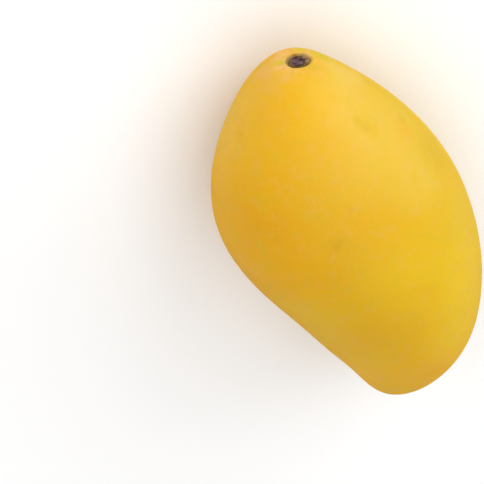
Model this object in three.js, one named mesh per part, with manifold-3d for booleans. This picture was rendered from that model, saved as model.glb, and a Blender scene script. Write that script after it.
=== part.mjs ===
// A whole ripe mango with the dried remnant of its stalk, lying on one cheek.
//
// Millimetres, +Z up. The stem end faces -Y and the tip faces +Y. The belly, the edge with the full
// shoulder that runs down to the tip almost straight, faces +X, and the evenly rounded back faces -X.
// The origin is the middle of the small flat spot that the fruit rests on.
//
// The fruit and the stalk remnant are first made in the fruit's own axes, which have their origin
// halfway along its length, and are then laid down together.

import * as THREE from 'three';
import { mergeVertices } from 'three/addons/utils/BufferGeometryUtils.js';
import Module from 'manifold-3d';

// Fruit. Each section square to its length is an ellipse, whose size and place change with the
// angle t, from 0 at the stem pole to PI at the tip pole. A list holds the amplitudes of 1, cos t,
// cos 2t and so on: the mean, stem end against tip end, both ends against the middle, finer shape.
const LENGTH = 127;
const HALF_WIDTH = [33.6, -0.9, -2.3, -2.9, 0.7];
const HALF_THICKNESS = [32.5, 2.6, 0.5];
const BELLY_SHIFT = [-4.2, 11.4, -2.4];

// The belly is a little fuller than those ellipses where it runs down to the tip: how much at most,
// and where and over what spread of t.
const BELLY_FILL = 1.7;
const BELLY_FILL_AT = THREE.MathUtils.degToRad(124);
const BELLY_FILL_SPREAD = THREE.MathUtils.degToRad(13);

// Faces round the fruit and along it.
const SECTORS = 48;
const RINGS = 44;

// Stem cavity: a dimple round the stalk, whose floor is flat at the stalk's seat.
const STALK_SEAT = new THREE.Vector3(-4.2, -61.2, 1.5);
const STALK_AXIS = new THREE.Vector3(-0.16, -0.985, 0.07).normalize();
const CAVITY_RADIUS = 7;

// Stalk remnant: a disc left where the stalk broke off, sunk in a socket in the cavity's floor.
const STUB_RADIUS = 3.4;
const STUB_PROUD = 0.8;
const STUB_ROUNDING = 0.4;
const STUB_SECTORS = 24;
const SOCKET_DEPTH = 0.9;
const SEAT_GAP = 0.3;

// How the fruit lies: turned so that its centre of mass is over the flat spot, which is cut at Z 0.
const LIE_PITCH = THREE.MathUtils.degToRad(-2.2);
const LIE_ROLL = THREE.MathUtils.degToRad(0.65);
const CENTRE_OVER_SPOT = new THREE.Vector3(1.6, 1.7, 31.46);

const MERGE_WITHIN = 1e-4;

const wasm = await Module();
wasm.setup();

/** The sum of a list's cosine terms at angle t. */
function series(amplitudes, t) {
  return amplitudes.reduce((sum, amplitude, order) => sum + amplitude * Math.cos(order * t), 0);
}

/** Y of the cavity's floor plane, which is square to the stalk at its seat. */
function floorY(x, z) {
  const rise = STALK_AXIS.x * (x - STALK_SEAT.x) + STALK_AXIS.z * (z - STALK_SEAT.z);
  return STALK_SEAT.y - rise / STALK_AXIS.y;
}

/** How far the skin stands out beyond its ellipse, at a point of the unit sphere. */
function bellyFill(point, t) {
  const share = Math.exp(-(((t - BELLY_FILL_AT) / BELLY_FILL_SPREAD) ** 2));
  return BELLY_FILL * share * Math.max(point.x, 0) ** 2;
}

/** Moves a point of the unit sphere, whose stem pole is at -Y, to its place on the skin. */
function moveToSkin(point) {
  const t = Math.acos(THREE.MathUtils.clamp(-point.y, -1, 1));
  const bellyShift = (1 - point.y ** 2) * series(BELLY_SHIFT, t);
  const x = bellyShift + point.x * series(HALF_WIDTH, t) + bellyFill(point, t);
  const y = point.y * LENGTH / 2;
  const z = point.z * series(HALF_THICKNESS, t);
  const reach = Math.hypot(x - STALK_SEAT.x, z - STALK_SEAT.z) / CAVITY_RADIUS;
  const dimple = y < 0 ? Math.exp(-(reach ** 2)) : 0;
  point.set(x, THREE.MathUtils.lerp(y, floorY(x, z), dimple), z);
}

/** The whole skin as a closed surface, in the fruit's own axes. */
function skinGeometry() {
  const geometry = new THREE.SphereGeometry(1, SECTORS, RINGS);
  const position = geometry.attributes.position;
  const point = new THREE.Vector3();
  for (let i = 0; i < position.count; i += 1) {
    point.fromBufferAttribute(position, i);
    moveToSkin(point);
    position.setXYZ(i, point.x, point.y, point.z);
  }
  return geometry;
}

/** Moves a shape made round +Y, with its seat at Y 0, to the stalk's place in the fruit. */
function toStalk(geometry) {
  const turn = new THREE.Quaternion().setFromUnitVectors(new THREE.Vector3(0, 1, 0), STALK_AXIS);
  return geometry
    .applyQuaternion(turn)
    .translate(STALK_SEAT.x, STALK_SEAT.y, STALK_SEAT.z);
}

/** What is taken out of the fruit for the stalk's socket. */
function socketGeometry() {
  const top = 2 * STUB_PROUD;
  const height = top + SOCKET_DEPTH;
  const radius = STUB_RADIUS + SEAT_GAP;
  const tool = new THREE.CylinderGeometry(radius, radius, height, STUB_SECTORS);
  return toStalk(tool.translate(0, top - height / 2, 0));
}

/** The stalk remnant: a low disc with a flat end and a rounded edge. */
function stubGeometry() {
  const seat = SEAT_GAP - SOCKET_DEPTH;
  const inner = STUB_RADIUS - STUB_ROUNDING;
  const profile = new THREE.Path()
    .moveTo(0, seat)
    .lineTo(STUB_RADIUS, seat)
    .absarc(inner, STUB_PROUD - STUB_ROUNDING, STUB_ROUNDING, 0, Math.PI / 2, false)
    .lineTo(0, STUB_PROUD);
  return toStalk(new THREE.LatheGeometry(profile.getPoints(2), STUB_SECTORS));
}

/** Turns a shape from the fruit's own axes to where it lies. */
function layDown(geometry) {
  return geometry
    .rotateX(LIE_PITCH)
    .rotateY(LIE_ROLL)
    .translate(CENTRE_OVER_SPOT.x, CENTRE_OVER_SPOT.y, CENTRE_OVER_SPOT.z);
}

/** A block that holds everything of the fruit below Z 0. */
function belowGround() {
  return new THREE.BoxGeometry(LENGTH, LENGTH, LENGTH).translate(0, 0, -LENGTH / 2);
}

/** A closed three.js geometry as a solid that can be cut. */
function toSolid(geometry) {
  geometry.deleteAttribute('normal');
  geometry.deleteAttribute('uv');
  const merged = mergeVertices(geometry, MERGE_WITHIN);
  return new wasm.Manifold(new wasm.Mesh({
    numProp: 3,
    vertProperties: new Float32Array(merged.attributes.position.array),
    triVerts: new Uint32Array(merged.index.array),
  }));
}

/** A solid back as a three.js geometry. */
function toGeometry(solid) {
  const { vertProperties, triVerts } = solid.getMesh();
  const geometry = new THREE.BufferGeometry();
  geometry.setAttribute('position', new THREE.BufferAttribute(vertProperties, 3));
  geometry.setIndex(new THREE.BufferAttribute(triVerts, 1));
  geometry.computeVertexNormals();
  return geometry;
}

/** The fruit in one piece, with its stem socket and its flat spot. */
function buildFruit() {
  const solid = toSolid(layDown(skinGeometry()))
    .subtract(toSolid(layDown(socketGeometry())))
    .subtract(toSolid(belowGround()));
  const skin = new THREE.MeshStandardMaterial({ color: 0xedb82b, roughness: 0.42, metalness: 0 });
  const mesh = new THREE.Mesh(toGeometry(solid), skin);
  mesh.name = 'fruit';
  return mesh;
}

/** What is left of the stalk. */
function buildStemStub() {
  const bark = new THREE.MeshStandardMaterial({ color: 0x3b2a26, roughness: 0.85, metalness: 0 });
  const mesh = new THREE.Mesh(layDown(stubGeometry()), bark);
  mesh.name = 'stem_stub';
  return mesh;
}

const mango = new THREE.Group();
mango.add(buildFruit(), buildStemStub());

export default mango;
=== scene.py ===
"""A whole ripe mango with the dark remnant of its broken stalk, lying on its cheek on a pale floor.

Metres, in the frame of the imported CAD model: +Z up, stem end towards -Y, tip towards +Y, belly
towards +X, evenly rounded back towards -X. The fruit's shape is worked out in millimetres in its
own axes, which have their origin halfway along its length. place_in_frame() then lays it down and
fits it to the CAD node.
"""
import math

import bpy
import numpy as np
from mathutils import Euler, Matrix, Vector, noise


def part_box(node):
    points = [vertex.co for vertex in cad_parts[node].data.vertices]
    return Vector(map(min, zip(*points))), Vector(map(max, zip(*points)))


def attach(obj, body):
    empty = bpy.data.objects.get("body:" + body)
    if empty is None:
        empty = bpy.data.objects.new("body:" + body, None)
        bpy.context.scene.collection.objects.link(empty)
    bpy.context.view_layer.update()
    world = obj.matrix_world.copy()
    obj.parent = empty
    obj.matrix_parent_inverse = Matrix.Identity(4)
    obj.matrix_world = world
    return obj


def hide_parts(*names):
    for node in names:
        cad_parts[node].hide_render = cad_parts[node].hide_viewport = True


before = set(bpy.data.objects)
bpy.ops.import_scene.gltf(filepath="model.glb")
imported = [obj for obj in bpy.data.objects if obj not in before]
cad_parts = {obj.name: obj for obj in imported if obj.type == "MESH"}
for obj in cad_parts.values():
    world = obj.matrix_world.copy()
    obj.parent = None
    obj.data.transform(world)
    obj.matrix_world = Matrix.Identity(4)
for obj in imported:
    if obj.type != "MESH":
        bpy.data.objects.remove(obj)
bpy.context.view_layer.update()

# Fruit, in millimetres. Each section square to its length is an ellipse, whose size and place
# change with the angle t, from 0 at the stem pole to pi at the tip pole. A list holds the
# amplitudes of 1, cos t, cos 2t and so on.
LENGTH = 127.0
HALF_WIDTH = (33.6, -0.9, -2.3, -2.9, 0.7)
HALF_THICKNESS = (32.5, 2.6, 0.5)
BELLY_SHIFT = (-4.2, 11.4, -2.4)
LIE_PITCH = math.radians(-2.2)
LIE_ROLL = math.radians(0.65)

# The belly is a little fuller than those ellipses where it runs down to the tip: how much at most,
# in millimetres, and where and over what spread of t.
BELLY_FILL = 1.7
BELLY_FILL_AT = math.radians(124)
BELLY_FILL_SPREAD = math.radians(13)

# Rings of the fruit's mesh, which crowd towards the stem, and points in each ring.
RINGS = 250
RING_CROWDING = 1.5
SECTORS = 300

# Slow swellings of the skin: how far apart and how high. They stand out along its normals, whose
# length is kept from 0.
SWELL_SIZE = 30.0
SWELL_HEIGHT = 0.3
SHORTEST_NORMAL = 1e-9

# Stem cavity: a dimple round the stalk, flat at its seat, with a collar of skin, a groove inside
# the collar and fine puckers outside it. Radii are measured from the stalk's axis.
STALK_SEAT = np.array((-4.2, -61.2, 1.5))
STALK_AXIS = np.array((-0.16, -0.985, 0.07)) / np.linalg.norm((-0.16, -0.985, 0.07))
CAVITY_RADIUS = 7.0
COLLAR_RADIUS = 4.4
COLLAR_WIDTH = 0.8
COLLAR_HEIGHT = 0.3
GROOVE_DEPTH = 0.35
GROOVE_FLOOR_RADIUS = 3.15
GROOVE_EDGE_RADIUS = 3.9
PUCKER_RADIUS = 6.2
PUCKER_WIDTH = 1.8
PUCKER_HEIGHT = 0.08

# Waves round the stalk: how many, how high as a share of what they shape, and phase. The puckers
# are spread unevenly, by PUCKER_BUNCHING, with finer ones over them.
COLLAR_WAVES = ((2, 0.25, 0.6), (5, 0.15, 0.0))
PUCKERS = 11
PUCKER_BUNCHING = 1.5
FINE_PUCKER_WAVES = ((19, 0.6, 0.8),)

# A fuller shoulder of skin below the stalk: its middle, how far it spreads and how high it stands.
SHOULDER = np.array((-6.0, -61.0, -7.0))
SHOULDER_SPREAD = 9.0
SHOULDER_HEIGHT = 0.55

# Stalk remnant: a broken woody disc with a raised rim and a sunk, fibrous middle.
STUB_RADIUS = 3.2
STUB_TOP = 0.55
STUB_FOOT = -0.55
STUB_ROUNDING = 0.35
STUB_OUTLINE_WAVES = ((3, 0.02, 1.0), (7, 0.015, 0.0), (16, 0.01, 2.0))

# Its mesh: points in each ring, and rings on the top, round the rounding and down the side. The
# first ring is at STUB_HUB of the top's radius, and the top's relief fades out over STUB_FADE.
STUB_SECTORS = 180
STUB_TOP_RINGS = 40
STUB_BEND_RINGS = 6
STUB_SIDE_RINGS = 5
STUB_HUB = 0.02
STUB_FADE = 0.05

# Relief of its broken top, in millimetres: the sunk middle, fibres that run out from it, lumps and
# grain. Where a part of it starts and ends is given in shares of the radius. The levels pick
# different sections through one field of noise.
DISH_DEPTH = 0.3
DISH_FROM, DISH_TO = 0.25, 0.8
FIBRE_HEIGHT = 0.10
FIBRE_FROM, FIBRE_FULL = 0.1, 0.5
FIBRES_ROUND = 7
FIBRES_PER_MM = 0.6
LUMP_HEIGHT = 0.16
LUMPS_PER_MM = 1.1
LUMP_LEVEL = 3.0
GRAIN_HEIGHT = 0.07
GRAINS_PER_MM = 3.5
GRAIN_LEVEL = 9.0

# Skin colours, in linear light.
GOLD = (0.74, 0.405, 0.007)
BELLY_ORANGE = (0.785, 0.398, 0.003)
BACK_YELLOW = (0.685, 0.435, 0.009)
TIP_GOLD = (0.80, 0.43, 0.001)
BRIGHT_ORANGE = (0.84, 0.455, 0.013)
DEEP_ORANGE = (0.75, 0.35, 0.004)
LEMON = (0.76, 0.49, 0.008)
PALE_YELLOW = (0.72, 0.48, 0.065)
OLIVE = (0.61, 0.39, 0.003)
PEACH = (0.765, 0.425, 0.125)
YELLOW_GREEN = (0.59, 0.45, 0.015)
SMUDGE_BROWN = (0.435, 0.235, 0.017)
# Brown of flecks and of the style scar's middle, also laid as painted shade at one side of the
# groove's rim.
FLECK_AND_SHADE_BROWN = (0.296, 0.122, 0.017)
CORK = (0.38, 0.245, 0.065)
# Brown of the groove, darkened as painted shade of the groove round the stalk.
GROOVE_BROWN_AND_SHADE = (0.26, 0.16, 0.05)

# Clouds that break up the tones: size of their patches in metres, then the levels of the noise, of
# 0 to 1, at which they start and are full.
BLOOM_CLOUD = (0.006, 0.3, 0.7)
BLEND_CLOUD = (0.03, 0.3, 0.7)
PATCH_CLOUD = (0.009, 0.1, 0.5)
SEAT_CLOUD = (0.005, 0.35, 0.65)
CORK_CLOUD = (0.0022, 0.2, 0.55)
SMUDGE_CLOUD = (0.003, 0.3, 0.7)
SCAR_CLOUD = (0.0012, 0.2, 0.6)
PORE_CLOUD = (0.0012, 0.3, 0.7)

# Skin finish.
SKIN_ROUGHNESS = 0.56
ROUGHNESS_SPREAD = 0.06
SKIN_GLOSS = 0.24

# The waxy bloom dulls the skin more where it is seen edge-on: how much rougher, and from which
# facing (0 is square on, 1 is edge-on) to which.
EDGE_ROUGHNESS = 0.25
EDGE_FROM, EDGE_FULL = 0.5, 0.95

# How the ground colour changes: between which X, in metres, it turns to the belly's and to the
# back's, and how strong the tip's is, how far it reaches and up to where it is full. BLEND_SHIFT is
# how far clouds move the first two.
BELLY_FROM, BELLY_FULL = 0.010, 0.034
BACK_FULL, BACK_FROM = -0.020, 0.006
BLEND_SHIFT = 0.012
TIP_STRENGTH = 0.9
TIP_REACH = 0.055
TIP_CORE = 0.02

# Clouds of ripeness over the whole skin: colour, strength, cloud and a shift that sets each pattern
# apart from the others.
RIPENESS = (
    (DEEP_ORANGE, 0.15, (0.016, 0.45, 0.75), (0.0, 0.0, 0.0)),
    (LEMON, 0.15, (0.011, 0.5, 0.75), (0.3, 0.1, 0.7)),
    (YELLOW_GREEN, 0.20, (0.0045, 0.5, 0.7), (0.9, 0.4, 0.2)),
    (PEACH, 0.15, (0.0035, 0.5, 0.7), (0.1, 0.8, 0.5)),
)

# Patches of another tone on the body and round the stem: degrees from the stem pole, degrees round
# the length from the belly to the upper cheek, radius in metres, colour and strength. The three
# small olive ones make one stroke. Some of the body's patches are painted highlight or painted
# light, as marked.
BODY_PATCHES = (
    (32, 12, 0.026, BRIGHT_ORANGE, 0.9),
    (66, 48, 0.020, DEEP_ORANGE, 0.7),
    # The next two are painted highlight, in pale yellow, on the upper back where the sheen falls.
    (54, 130, 0.026, PALE_YELLOW, 0.6),
    (72, 134, 0.014, PALE_YELLOW, 0.6),
    (71, 160, 0.011, OLIVE, 0.9),
    # Painted highlight, in pale yellow, on the upper back near the stem.
    (36, 138, 0.017, PALE_YELLOW, 0.5),
    (94, 100, 0.022, LEMON, 0.6),
    (108, 126, 0.024, LEMON, 0.8),
    # The next two are lemon tone and also painted light, for light bounced from the floor onto the
    # lower flank.
    (100, 52, 0.018, LEMON, 0.5),
    (124, 46, 0.014, LEMON, 0.5),
    (124, 114, 0.016, LEMON, 0.6),
    (139, 96, 0.010, DEEP_ORANGE, 0.4),
    (59, 155, 0.006, DEEP_ORANGE, 0.3),
    # The next one is bright orange and also painted light, on the belly's rim towards the stem,
    # which the lamps reach less.
    (42, -4, 0.022, BRIGHT_ORANGE, 0.8),
    (38, -4, 0.018, PALE_YELLOW, 0.45),
    (98, 32, 0.012, LEMON, 0.4),
    (112, 34, 0.013, LEMON, 0.5),
    (132, 34, 0.015, BRIGHT_ORANGE, 0.9),
    (45, 130, 0.0030, OLIVE, 0.7),
    (48, 132, 0.0032, OLIVE, 0.7),
    (51, 134, 0.0030, OLIVE, 0.5),
)
STEM_PATCHES = (
    (12, 18, 0.007, PEACH, 0.55),
    (11, 95, 0.004, PEACH, 0.5),
    (5, 64, 0.0028, PEACH, 0.9),
    (2, -14, 0.0030, YELLOW_GREEN, 0.8),
    (15, -150, 0.004, YELLOW_GREEN, 0.7),
    (25, -174, 0.0055, YELLOW_GREEN, 0.95),
    (16, -170, 0.0025, PEACH, 0.9),
    (8, -88, 0.005, PEACH, 0.7),
    (33, 168, 0.010, PALE_YELLOW, 0.8),
    (18, 145, 0.0045, OLIVE, 0.5),
)

# The edge of a blotch, in shares of its radius: where it is full and where it ends, how strongly
# noise of 0 to 1 moves it in and out, and the size of that noise's patches.
BLOTCH_FULL, BLOTCH_END = 0.1, 1.1
BLOTCH_WANDER = 1.8
BLOTCH_WANDER_SIZE = 0.9

# Tones round the stalk: strength, radius at which they end and radius up to which they are full, in
# metres. The places are millimetres across and up from the middle of the stalk remnant's end.
SEAT_PEACH = (0.2, 0.014, 0.004)
SEAT_CORK = (0.7, 0.0048, 0.0036)
# Painted shade in the groove round the stalk remnant.
GROOVE_SHADE = (0.9, 0.0041, 0.0032)
GROOVE_PLACE = (-0.25, -0.1)
# Darker painted shade in the groove at one side of the stalk remnant's rim.
RIM_PAINTED_SHADE = (0.9, 0.0012, 0.0005)
RIM_PAINTED_SHADE_PLACE = (-0.5, -3.2)

# Lenticels, which are the pale dots of the skin, brown flecks and pores: spacing and radius in
# metres, share of the places that have one, strength of the colour and height of the relief in
# metres. A dot is full within DOT_CORE of its radius.
LENTICEL_SPACING = 0.0017
LENTICEL_RADIUS = 0.00034
LENTICEL_STRENGTH = 0.5
LENTICEL_HEIGHT = 0.00002
FLECK_SPACING = 0.006
FLECK_RADIUS = 0.0004
FLECK_SHARE = 0.2
FLECK_STRENGTH = 0.35
PORE_HEIGHT = 0.000025
DOT_CORE = 0.4

# Faint smudges: place in degrees as above, radius in metres and strength.
SMUDGES = (
    (76, 83, 0.005, 0.25),
    (68, 96, 0.004, 0.15),
    (48, 132, 0.003, 0.15),
    (57, 162, 0.003, 0.25),
    (94, 125, 0.002, 0.3),
)

# Scar of the flower's style, near the tip: place in degrees as above, and its halo and its middle,
# each with strength, radius at which it ends and radius up to which it is full, in metres.
STYLE_SCAR = (171, 15)
SCAR_HALO = (0.6, 0.0018, 0.0006)
SCAR_MIDDLE = (0.9, 0.0008, 0.0004)

# Stalk remnant colours, in linear light.
WOOD_TAN = (0.19, 0.12, 0.035)
WOOD_DARK = (0.035, 0.016, 0.008)
WOOD_PURPLE = (0.095, 0.050, 0.060)
WOOD_PALE = (0.24, 0.155, 0.175)
WOOD_PINK = (0.38, 0.20, 0.11)
WOOD_OLIVE = (0.30, 0.20, 0.085)

# Clouds that break up those tones, given as the skin's are, and the height of the grain in metres.
DARK_CLOUD = (0.0014, 0.42, 0.62)
PURPLE_CLOUD = (0.0012, 0.2, 0.45)
PALE_CLOUD = (0.0007, 0.3, 0.6)
WOOD_GRAIN = (0.0004, 0.3, 0.7)
WOOD_GRAIN_HEIGHT = 0.00005

# Tones on the remnant's end: strength, radius at which they end and radius up to which they are
# full, in metres. Their places are millimetres across and up from its middle.
DARK_MIDDLE = (0.85, 0.0034, 0.0024)
PURPLE_MIDDLE = (0.95, 0.0030, 0.0018)
PALE_PLACE, PALE_SPOT = (0.24, 1.1), (0.85, 0.0014, 0.0003)
FAINT_PLACE, FAINT_SPOT = (-1.0, -0.7), (0.4, 0.0013, 0.0002)
PINK_PLACE, PINK_SPOT = (2.5, -1.5), (0.8, 0.0014, 0.0005)
OLIVE_PLACE, OLIVE_SPOT = (2.8, 1.1), (0.85, 0.0014, 0.0007)

# Where the end is darkest: millimetres across and up, and radius in metres. Each such place is full
# within DARK_CORE of its radius.
DARK_PLACES = (
    (-0.7, -3.0, 0.0017),
    (0.9, -0.8, 0.0010),
    (1.7, 0.6, 0.0009),
    (-0.7, 2.2, 0.0013),
    (-1.4, 0.5, 0.0008),
)
DARK_STRENGTH = 0.9
DARK_CORE = 0.3

# Stalk remnant finish.
WOOD_ROUGHNESS = 0.8
WOOD_GLOSS = 0.1

# Light: two soft suns, each with azimuth, elevation, strength and spread, and a room with low light
# below its walls, dark walls and a bright ceiling, which blend over ranges of elevation. BACKDROP
# is what the camera sees of the room.
KEY_SUN = (210, 25, 1.69, 60)
SIDE_SUN = (300, 25, 0.61, 60)
LOW_LIGHT = 0.78
WALL_LIGHT = 0.02
CEILING_LIGHT = 1.63
WALLS_FROM, WALLS_FULL = math.radians(8), math.radians(22)
CEILING_FROM, CEILING_FULL = math.radians(42), math.radians(58)
BACKDROP = 1.0

# View: how far the camera stands from CAMERA_FROM, in metres, at which azimuth from -Y and at which
# elevation, how it is rolled and what it aims at. Lens and sensor are in millimetres.
CAMERA_DISTANCE = 0.75
CAMERA_AZIMUTH = math.radians(3.94)
CAMERA_ELEVATION = math.radians(60.32)
CAMERA_ROLL = math.radians(158.74)
CAMERA_LENS = 180
SENSOR_WIDTH = 36
CAMERA_FROM = Vector((0.0002, 0, 0.032))
CAMERA_AIM = Vector((0.0336, -0.0059, 0.0273))

# Floor, and its size in metres.
FLOOR_COLOUR = (0.97, 0.97, 0.97)
FLOOR_ROUGHNESS = 1.0
FLOOR_GLOSS = 0.0
FLOOR_SIZE = 12.0

# How fine the noise of clouds and of blotches is, as the noise node's Detail.
CLOUD_DETAIL = 2.0
BLOTCH_DETAIL = 1.0

# The Mix node's sockets, whose names repeat: the factor, and the two values and the result where it
# mixes colours and where it mixes numbers.
MIX_FACTOR = 0
COLOUR_A, COLOUR_B, COLOUR_RESULT = 6, 7, 2
NUMBER_A, NUMBER_B, NUMBER_RESULT = 2, 3, 0


# ------------------------------------------------------------------------------ shape of the fruit

def series(amplitudes, t):
    """The sum of the cosine terms at angle t."""
    return sum(amplitude * np.cos(order * t) for order, amplitude in enumerate(amplitudes))


def smooth_step(low, high, value):
    """0 below low, 1 above high and a smooth slope between them."""
    share = np.clip((value - low) / (high - low), 0, 1)
    return share * share * (3 - 2 * share)


def hump(value, middle, width):
    """A round hump of height 1 at middle, which falls to about a third at width from it."""
    return np.exp(-((value - middle) / width) ** 2)


def waves(turn, rows):
    """The sum of waves round a circle, each with its number, height and phase."""
    return sum(height * np.sin(number * turn + phase) for number, height, phase in rows)


@np.vectorize
def noise_at(x, y, z):
    """Smooth noise, about -1 to 1, which changes over a distance of about 1."""
    return noise.noise(Vector((x, y, z)))


def floor_y(x, z):
    """Y of the cavity's floor plane, which is square to the stalk at its seat."""
    rise = STALK_AXIS[0] * (x - STALK_SEAT[0]) + STALK_AXIS[2] * (z - STALK_SEAT[2])
    return STALK_SEAT[1] - rise / STALK_AXIS[1]


def skin_points(t, turn):
    """Points of the smooth skin, at angle t from the stem pole and turn round the length."""
    belly = np.maximum(np.sin(t) * np.cos(turn), 0) ** 2
    x = np.sin(t) ** 2 * series(BELLY_SHIFT, t) + np.sin(t) * series(HALF_WIDTH, t) * np.cos(turn)
    x = x + BELLY_FILL * hump(t, BELLY_FILL_AT, BELLY_FILL_SPREAD) * belly
    y = -LENGTH / 2 * np.cos(t) * np.ones_like(turn)
    z = np.sin(t) * series(HALF_THICKNESS, t) * np.sin(turn)
    reach = np.hypot(x - STALK_SEAT[0], z - STALK_SEAT[2]) / CAVITY_RADIUS
    dimple = np.where(y < 0, np.exp(-reach ** 2), 0)
    return np.stack([x, y + dimple * (floor_y(x, z) - y), z], axis=-1)


def stalk_sides():
    """Two directions square to the stalk and to each other."""
    across = np.cross(STALK_AXIS, (0.0, 0.0, 1.0))
    across /= np.linalg.norm(across)
    return across, np.cross(across, STALK_AXIS)


def round_stalk(points):
    """Distance of points from the stalk's axis, and their turn round it."""
    across, up = stalk_sides()
    away = points - STALK_SEAT
    return np.hypot(away @ across, away @ up), np.arctan2(away @ up, away @ across)


def stem_relief(points):
    """How far the skin stands out along the stalk: collar, puckers, groove and shoulder."""
    distance, turn = round_stalk(points)
    collar = COLLAR_HEIGHT * hump(distance, COLLAR_RADIUS, COLLAR_WIDTH)
    collar *= 1 + waves(turn, COLLAR_WAVES)
    groove = GROOVE_DEPTH * (1 - smooth_step(GROOVE_FLOOR_RADIUS, GROOVE_EDGE_RADIUS, distance))
    bunched = PUCKERS * turn + PUCKER_BUNCHING * np.sin(2 * turn)
    pucker = np.sin(bunched) + waves(turn, FINE_PUCKER_WAVES)
    pucker *= PUCKER_HEIGHT * hump(distance, PUCKER_RADIUS, PUCKER_WIDTH)
    from_shoulder = np.linalg.norm(points - SHOULDER, axis=-1)
    shoulder = SHOULDER_HEIGHT * hump(from_shoulder, 0, SHOULDER_SPREAD)
    return np.where(points[..., 1] < -LENGTH / 4, collar - groove + pucker + shoulder, 0)


def swell(points):
    """How far the skin stands out or in, in slow swellings."""
    place = points / SWELL_SIZE
    return SWELL_HEIGHT * noise_at(place[..., 0], place[..., 1], place[..., 2])


def outward(points):
    """Unit normals of a grid of points, rings first and points round a ring second."""
    along = np.gradient(points, axis=0)
    around = np.roll(points, -1, axis=1) - np.roll(points, 1, axis=1)
    normal = np.cross(around, along)
    return normal / np.maximum(np.linalg.norm(normal, axis=-1, keepdims=True), SHORTEST_NORMAL)


def lie(points):
    """Turns points or directions from the fruit's own axes to how it lies."""
    turn = np.array(Euler((LIE_PITCH, LIE_ROLL, 0), "XYZ").to_matrix())
    return points @ turn.T


def fit_to_node():
    """The scale and shift that bring the lying fruit, in millimetres, onto its CAD node."""
    t = np.linspace(0, np.pi, RINGS)[:, None]
    turn = np.linspace(0, 2 * np.pi, SECTORS)[None, :]
    lying = lie(skin_points(t, turn))
    own_low, own_high = lying.min(axis=(0, 1)), lying.max(axis=(0, 1))
    low, high = (np.array(corner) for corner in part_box("fruit"))
    scale = (high[1] - low[1]) / (own_high[1] - own_low[1])
    shift = (low + high) / 2 - scale * (own_low + own_high) / 2
    shift[2] = high[2] - scale * own_high[2]
    return scale, shift


SCALE, SHIFT = fit_to_node()
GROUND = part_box("fruit")[0].z


def place_in_frame(points):
    """Points from the fruit's own axes, in millimetres, to the frame, in metres."""
    return lie(points) * SCALE + SHIFT


def grid_mesh(name, rings, first, last):
    """A closed mesh of rings of points, between a point before the first and one after the last."""
    count = rings.shape[1]
    around = np.arange(count)
    after = np.roll(around, -1)
    points = [first, *rings.reshape(-1, 3), last]
    faces = [(0, 1 + k, 1 + j) for j, k in zip(around, after)]
    for ring in range(len(rings) - 1):
        near, far = 1 + ring * count, 1 + (ring + 1) * count
        faces += [(near + j, near + k, far + k, far + j) for j, k in zip(around, after)]
    end = len(points) - 1
    faces += [(end, end - count + j, end - count + k) for j, k in zip(around, after)]
    faces = [tuple(map(int, face)) for face in faces]
    mesh = bpy.data.meshes.new(name)
    mesh.from_pydata([tuple(point) for point in points], [], faces)
    mesh.polygons.foreach_set("use_smooth", [True] * len(mesh.polygons))
    piece = bpy.data.objects.new(name, mesh)
    bpy.context.scene.collection.objects.link(piece)
    return piece


def make_fruit():
    """The whole fruit in one skin, pressed flat where it rests."""
    t = np.pi * (np.arange(1, RINGS) / RINGS)[:, None] ** RING_CROWDING
    turn = np.linspace(0, 2 * np.pi, SECTORS, endpoint=False)[None, :]
    smooth = skin_points(t, turn)
    points = smooth + swell(smooth)[..., None] * outward(smooth)
    rings = place_in_frame(points + stem_relief(smooth)[..., None] * STALK_AXIS)
    rings[..., 2] = np.maximum(rings[..., 2], GROUND)
    poles = skin_points(np.array([0.0, np.pi]), np.array([0.0, 0.0]))
    poles = place_in_frame(poles + stem_relief(poles)[..., None] * STALK_AXIS)
    return grid_mesh("mango_fruit", rings, *poles)


# ------------------------------------------------------------------- shape of the stalk remnant

def stub_profile():
    """Distance from the axis and height of each ring, from the middle of the top to the foot."""
    inner = STUB_RADIUS - STUB_ROUNDING
    top = [(inner * share, STUB_TOP) for share in np.linspace(STUB_HUB, 1, STUB_TOP_RINGS)]
    bend = np.linspace(0, np.pi / 2, STUB_BEND_RINGS + 1)[1:]
    rim = [(inner + STUB_ROUNDING * np.sin(angle), STUB_TOP - STUB_ROUNDING * (1 - np.cos(angle)))
           for angle in bend]
    heights = np.linspace(rim[-1][1], STUB_FOOT, STUB_SIDE_RINGS + 1)[1:]
    side = [(STUB_RADIUS, height) for height in heights]
    return np.array(top + rim + side)


def stub_relief(distance, turn):
    """How far the broken top stands above or below its rim."""
    share = distance / STUB_RADIUS
    cos, sin = np.cos(turn), np.sin(turn)
    x, y = distance * cos, distance * sin
    dish = -DISH_DEPTH * (1 - smooth_step(DISH_FROM, DISH_TO, share))
    fibres = noise_at(FIBRES_ROUND * cos, FIBRES_ROUND * sin, distance * FIBRES_PER_MM)
    fibres = FIBRE_HEIGHT * fibres * smooth_step(FIBRE_FROM, FIBRE_FULL, share)
    lumps = LUMP_HEIGHT * noise_at(x * LUMPS_PER_MM, y * LUMPS_PER_MM, LUMP_LEVEL)
    grain = GRAIN_HEIGHT * noise_at(x * GRAINS_PER_MM, y * GRAINS_PER_MM, GRAIN_LEVEL)
    return dish + fibres + lumps + grain


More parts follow.
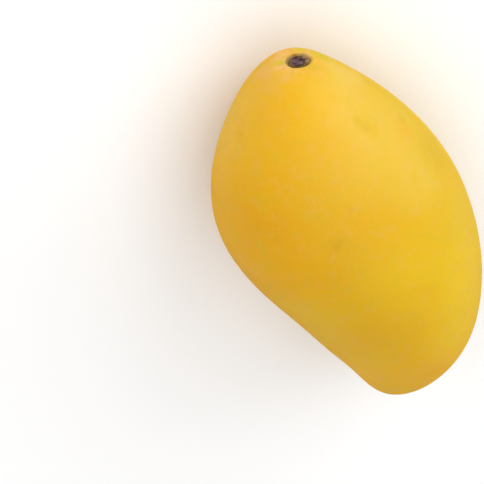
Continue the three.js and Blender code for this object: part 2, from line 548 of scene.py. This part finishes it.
def make_stub():
    """What is left of the stalk, standing in the groove."""
    turn = np.linspace(0, 2 * np.pi, STUB_SECTORS, endpoint=False)[None, :]
    distance, height = (column[:, None] for column in stub_profile().T)
    on_top = smooth_step(STUB_TOP - STUB_ROUNDING, STUB_TOP - STUB_FADE, height)
    height = height + on_top * stub_relief(distance, turn)
    distance = distance * (1 + waves(turn, STUB_OUTLINE_WAVES))
    across, up = stalk_sides()
    spread = np.cos(turn)[..., None] * across + np.sin(turn)[..., None] * up
    rings = STALK_SEAT + distance[..., None] * spread + height[..., None] * STALK_AXIS
    middle = place_in_frame(STALK_SEAT + height[0].mean() * STALK_AXIS)
    foot = place_in_frame(STALK_SEAT + STUB_FOOT * STALK_AXIS)
    return grid_mesh("stalk_remnant", place_in_frame(rings), middle, foot)


# --------------------------------------------------------------------------------- materials

class Graph:
    """A node tree, with short ways to add and join its nodes."""

    def __init__(self, tree):
        self.tree = tree

    def node(self, kind, inputs=(), **settings):
        """Adds a node. Each input is a name or number with its value or the socket that feeds it."""
        made = self.tree.nodes.new(kind)
        for name, value in settings.items():
            setattr(made, name, value)
        for name, value in dict(inputs).items():
            self.feed(made.inputs[name], value)
        return made

    def feed(self, socket, value):
        """Joins a socket to another, or sets its value."""
        if isinstance(value, bpy.types.NodeSocket):
            self.tree.links.new(value, socket)
        elif socket.type == "RGBA":
            socket.default_value = (*value, 1)
        else:
            socket.default_value = value

    def math(self, operation, *values):
        """The result of a math node."""
        return self.node("ShaderNodeMath", enumerate(values), operation=operation).outputs[0]

    def vector(self, operation, *values):
        """A vector math node."""
        return self.node("ShaderNodeVectorMath", enumerate(values), operation=operation)

    def ramp(self, value, low, high):
        """0 where value is below low, 1 above high, and a smooth slope between them."""
        inputs = {"Value": value, "From Min": low, "From Max": high}
        made = self.node("ShaderNodeMapRange", inputs, interpolation_type="SMOOTHSTEP")
        return made.outputs["Result"]

    def fall(self, value, low, high):
        """1 where value is below low, 0 above high, and a smooth slope between them."""
        return self.math("SUBTRACT", 1.0, self.ramp(value, low, high))


class Surface(Graph):
    """A procedural material, built up in layers over the places on a piece, in metres."""

    def __init__(self, name, ground, roughness):
        self.material = bpy.data.materials.new(name)
        self.material.use_nodes = True
        super().__init__(self.material.node_tree)
        self.shader = self.tree.nodes["Principled BSDF"]
        self.place = self.node("ShaderNodeTexCoord").outputs["Object"]
        self.colour = ground
        self.roughness = roughness
        self.height = None

    def cloud(self, size, low, high, shift=(0.0, 0.0, 0.0)):
        """A soft irregular pattern of 0 to 1, with patches about size across."""
        place = self.vector("ADD", self.place, shift).outputs[0]
        inputs = {"Vector": place, "Scale": 1 / size, "Detail": CLOUD_DETAIL}
        return self.ramp(self.node("ShaderNodeTexNoise", inputs).outputs["Fac"], low, high)

    def away_from(self, centre):
        """The distance from a place."""
        return self.vector("DISTANCE", self.place, centre).outputs["Value"]

    def spot(self, centre, radius, core=0.0):
        """1 within core of a place, falling to 0 at radius from it."""
        return self.fall(self.away_from(centre), core, radius)

    def blotch(self, centre, radius):
        """Like spot, but with an edge that wanders in and out."""
        scale = 1 / (BLOTCH_WANDER_SIZE * radius)
        inputs = {"Vector": self.place, "Scale": scale, "Detail": BLOTCH_DETAIL}
        noise_level = self.node("ShaderNodeTexNoise", inputs).outputs["Fac"]
        wander = self.math("SUBTRACT", noise_level, 0.5)
        away = self.math("MULTIPLY_ADD", wander, BLOTCH_WANDER * radius, self.away_from(centre))
        return self.fall(away, BLOTCH_FULL * radius, BLOTCH_END * radius)

    def dots(self, spacing, radius, share=1.0):
        """Scattered round dots, in a share of the cells that are spacing across."""
        cells = self.node("ShaderNodeTexVoronoi", {"Vector": self.place, "Scale": 1 / spacing})
        edge = radius / spacing
        inside = self.fall(cells.outputs["Distance"], DOT_CORE * edge, edge)
        lot = self.node("ShaderNodeSeparateColor", {"Color": cells.outputs["Color"]}).outputs["Red"]
        return self.math("MULTIPLY", inside, self.math("LESS_THAN", lot, share))

    def lay(self, colour, strength, *factors):
        """Lays a colour over what is there, by strength times the factors."""
        share = strength
        for factor in factors:
            share = self.math("MULTIPLY", share, factor)
        inputs = {MIX_FACTOR: share, COLOUR_A: self.colour, COLOUR_B: colour}
        made = self.node("ShaderNodeMix", inputs, data_type="RGBA", clamp_factor=True)
        self.colour = made.outputs[COLOUR_RESULT]

    def lay_spot(self, colour, centre, tone, *factors):
        """Lays a spot of a colour, whose tone is its strength, end radius and full radius."""
        strength, radius, core = tone
        self.lay(colour, strength, self.spot(centre, radius, core), *factors)

    def raise_by(self, amount, factor):
        """Adds relief of that many metres where the factor is 1."""
        part = self.math("MULTIPLY", factor, amount)
        self.height = part if self.height is None else self.math("ADD", self.height, part)

    def finish(self, gloss):
        """Joins the colour, roughness and relief to the shader."""
        self.feed(self.shader.inputs["Base Color"], self.colour)
        self.feed(self.shader.inputs["Roughness"], self.roughness)
        self.shader.inputs["Specular IOR Level"].default_value = gloss
        if self.height:
            bump = self.node("ShaderNodeBump", {"Height": self.height, "Distance": 1.0})
            self.feed(self.shader.inputs["Normal"], bump.outputs["Normal"])
        return self.material


def skin_place(t, turn):
    """The place on the skin at t degrees from the stem pole and turn degrees round the length."""
    return tuple(place_in_frame(skin_points(np.radians(t), np.radians(turn))))


def skin_material():
    """Satin skin, golden yellow with orange, lemon and green tones."""
    skin = Surface("mango_skin", GOLD, SKIN_ROUGHNESS)
    ground_tones(skin)
    stem_tones(skin)
    marks(skin)
    bloom = skin.cloud(*BLOOM_CLOUD)
    roughness = skin.math("MULTIPLY_ADD", bloom, ROUGHNESS_SPREAD, SKIN_ROUGHNESS)
    facing = skin.node("ShaderNodeLayerWeight", {"Blend": 0.5}).outputs["Facing"]
    edge = skin.ramp(facing, EDGE_FROM, EDGE_FULL)
    skin.roughness = skin.math("MULTIPLY_ADD", edge, EDGE_ROUGHNESS, roughness)
    return skin.finish(SKIN_GLOSS)


def ground_tones(skin):
    """The slow change of colour from belly to back, the tip, patches, some of them painted highlight
    and painted light, and clouds of ripeness.
    """
    x = skin.node("ShaderNodeSeparateXYZ", {"Vector": skin.place}).outputs["X"]
    x = skin.math("MULTIPLY_ADD", skin.cloud(*BLEND_CLOUD), BLEND_SHIFT, x)
    skin.lay(BELLY_ORANGE, 1.0, skin.ramp(x, BELLY_FROM, BELLY_FULL))
    skin.lay(BACK_YELLOW, 1.0, skin.fall(x, BACK_FULL, BACK_FROM))
    skin.lay_spot(TIP_GOLD, skin_place(180, 0), (TIP_STRENGTH, TIP_REACH, TIP_CORE))
    # Some of these patches are painted highlight and painted light.
    for t, turn, radius, colour, strength in BODY_PATCHES:
        patch = skin.spot(skin_place(t, turn), radius)
        skin.lay(colour, strength, patch, skin.cloud(*PATCH_CLOUD))
    for colour, strength, cloud, shift in RIPENESS:
        skin.lay(colour, strength, skin.cloud(*cloud, shift))


def stem_tones(skin):
    """Peach and green tones round the stem cavity, the corky ring, and painted shade in the groove
    and at one side of its rim.
    """
    seat = tuple(place_in_frame(STALK_SEAT))
    skin.lay_spot(PEACH, seat, SEAT_PEACH, skin.cloud(*SEAT_CLOUD))
    for t, turn, radius, colour, strength in STEM_PATCHES:
        skin.lay(colour, strength, skin.blotch(skin_place(t, turn), radius))
    skin.lay_spot(CORK, seat, SEAT_CORK, skin.cloud(*CORK_CLOUD))
    # Painted shade in the groove round the stalk remnant, and darker painted shade at one side of
    # its rim.
    skin.lay_spot(GROOVE_BROWN_AND_SHADE, stub_place(*GROOVE_PLACE), GROOVE_SHADE)
    skin.lay_spot(FLECK_AND_SHADE_BROWN, stub_place(*RIM_PAINTED_SHADE_PLACE), RIM_PAINTED_SHADE)


def marks(skin):
    """Lenticels, pores, brown flecks, a few faint smudges and the scar of the flower's style."""
    lenticels = skin.dots(LENTICEL_SPACING, LENTICEL_RADIUS)
    skin.lay(PALE_YELLOW, LENTICEL_STRENGTH, lenticels)
    skin.raise_by(LENTICEL_HEIGHT, lenticels)
    skin.raise_by(PORE_HEIGHT, skin.cloud(*PORE_CLOUD))
    skin.lay(FLECK_AND_SHADE_BROWN, FLECK_STRENGTH, skin.dots(FLECK_SPACING, FLECK_RADIUS, FLECK_SHARE))
    for t, turn, radius, strength in SMUDGES:
        smudge = skin.spot(skin_place(t, turn), radius)
        skin.lay(SMUDGE_BROWN, strength, smudge, skin.cloud(*SMUDGE_CLOUD))
    scar = skin_place(*STYLE_SCAR)
    skin.lay_spot(SMUDGE_BROWN, scar, SCAR_HALO, skin.cloud(*SCAR_CLOUD))
    skin.lay_spot(FLECK_AND_SHADE_BROWN, scar, SCAR_MIDDLE)


def stub_place(across, up):
    """The place on the stalk remnant's end that many millimetres from its middle."""
    side, top = stalk_sides()
    return tuple(place_in_frame(STALK_SEAT + across * side + up * top + STUB_TOP * STALK_AXIS))


def stalk_material():
    """Dry, fibrous wood, tan at its rim and dark, grey and purple in its middle."""
    wood = Surface("stalk_wood", WOOD_TAN, WOOD_ROUGHNESS)
    middle = stub_place(0.0, 0.0)
    wood.lay_spot(WOOD_DARK, middle, DARK_MIDDLE, wood.cloud(*DARK_CLOUD))
    wood.lay_spot(WOOD_PURPLE, middle, PURPLE_MIDDLE, wood.cloud(*PURPLE_CLOUD))
    wood.lay_spot(WOOD_PALE, stub_place(*PALE_PLACE), PALE_SPOT, wood.cloud(*PALE_CLOUD))
    wood.lay_spot(WOOD_PALE, stub_place(*FAINT_PLACE), FAINT_SPOT, wood.cloud(*PALE_CLOUD))
    wood.lay_spot(WOOD_PINK, stub_place(*PINK_PLACE), PINK_SPOT)
    for across, up, radius in DARK_PLACES:
        tone = (DARK_STRENGTH, radius, DARK_CORE * radius)
        wood.lay_spot(WOOD_DARK, stub_place(across, up), tone)
    wood.lay_spot(WOOD_OLIVE, stub_place(*OLIVE_PLACE), OLIVE_SPOT)
    wood.raise_by(WOOD_GRAIN_HEIGHT, wood.cloud(*WOOD_GRAIN))
    return wood.finish(WOOD_GLOSS)


# ------------------------------------------------------------------------------------- scene

def make_floor():
    """A plain pale floor at the height of the surface that the fruit rests on."""
    half = FLOOR_SIZE / 2
    corners = [(-half, -half, 0), (half, -half, 0), (half, half, 0), (-half, half, 0)]
    mesh = bpy.data.meshes.new("floor")
    mesh.from_pydata(corners, [], [(0, 1, 2, 3)])
    floor = bpy.data.objects.new("floor", mesh)
    bpy.context.scene.collection.objects.link(floor)
    paint = Surface("floor_paint", FLOOR_COLOUR, FLOOR_ROUGHNESS)
    floor.data.materials.append(paint.finish(FLOOR_GLOSS))


def toward(azimuth, elevation):
    """The unit direction at an azimuth from +X and an elevation, in degrees."""
    a, e = math.radians(azimuth), math.radians(elevation)
    return Vector((math.cos(a) * math.cos(e), math.sin(a) * math.cos(e), math.sin(e)))


def make_sun(name, azimuth, elevation, strength, spread):
    """Even light from one side, as from a large soft box far away."""
    data = bpy.data.lights.new(name, "SUN")
    data.energy = strength
    data.angle = math.radians(spread)
    light = bpy.data.objects.new(name, data)
    light.rotation_mode = "QUATERNION"
    light.rotation_quaternion = (-toward(azimuth, elevation)).to_track_quat("-Z", "Y")
    bpy.context.scene.collection.objects.link(light)


def make_camera():
    """The camera, at the photograph's angle and rolled as it was."""
    data = bpy.data.cameras.new("camera")
    data.lens = CAMERA_LENS
    data.sensor_width = SENSOR_WIDTH
    camera = bpy.data.objects.new("camera", data)
    away = Vector((math.sin(CAMERA_AZIMUTH) * math.cos(CAMERA_ELEVATION),
                   -math.cos(CAMERA_AZIMUTH) * math.cos(CAMERA_ELEVATION),
                   math.sin(CAMERA_ELEVATION)))
    camera.location = CAMERA_FROM + CAMERA_DISTANCE * away
    aim = (CAMERA_AIM - camera.location).to_track_quat("-Z", "Y").to_matrix().to_4x4()
    camera.rotation_mode = "QUATERNION"
    camera.rotation_quaternion = (aim @ Matrix.Rotation(CAMERA_ROLL, 4, "Z")).to_quaternion()
    bpy.context.scene.collection.objects.link(camera)
    bpy.context.scene.camera = camera


def make_world():
    """A room that is light near the floor, dark round its walls and brightest overhead."""
    world = bpy.data.worlds.new("studio")
    world.use_nodes = True
    room = Graph(world.node_tree)
    view = room.node("ShaderNodeTexCoord").outputs["Generated"]
    height = room.node("ShaderNodeSeparateXYZ", {"Vector": view}).outputs["Z"]
    walls = room.ramp(height, math.sin(WALLS_FROM), math.sin(WALLS_FULL))
    ceiling = room.ramp(height, math.sin(CEILING_FROM), math.sin(CEILING_FULL))
    light = room.math("MULTIPLY_ADD", walls, WALL_LIGHT - LOW_LIGHT, LOW_LIGHT)
    light = room.math("MULTIPLY_ADD", ceiling, CEILING_LIGHT - WALL_LIGHT, light)
    seen = room.node("ShaderNodeLightPath").outputs["Is Camera Ray"]
    inputs = {MIX_FACTOR: seen, NUMBER_A: light, NUMBER_B: BACKDROP}
    shown = room.node("ShaderNodeMix", inputs).outputs[NUMBER_RESULT]
    room.feed(world.node_tree.nodes["Background"].inputs["Strength"], shown)
    world.node_tree.nodes["Background"].inputs["Color"].default_value = (1, 1, 1, 1)
    bpy.context.scene.world = world


fruit = make_fruit()
fruit.data.materials.append(skin_material())
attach(fruit, "root")
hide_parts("fruit")

stub = make_stub()
stub.data.materials.append(stalk_material())
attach(stub, "root")
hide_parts("stem_stub")

make_floor()
make_camera()
make_world()
make_sun("key", *KEY_SUN)
make_sun("side", *SIDE_SUN)
bpy.context.scene.view_settings.view_transform = "Standard"
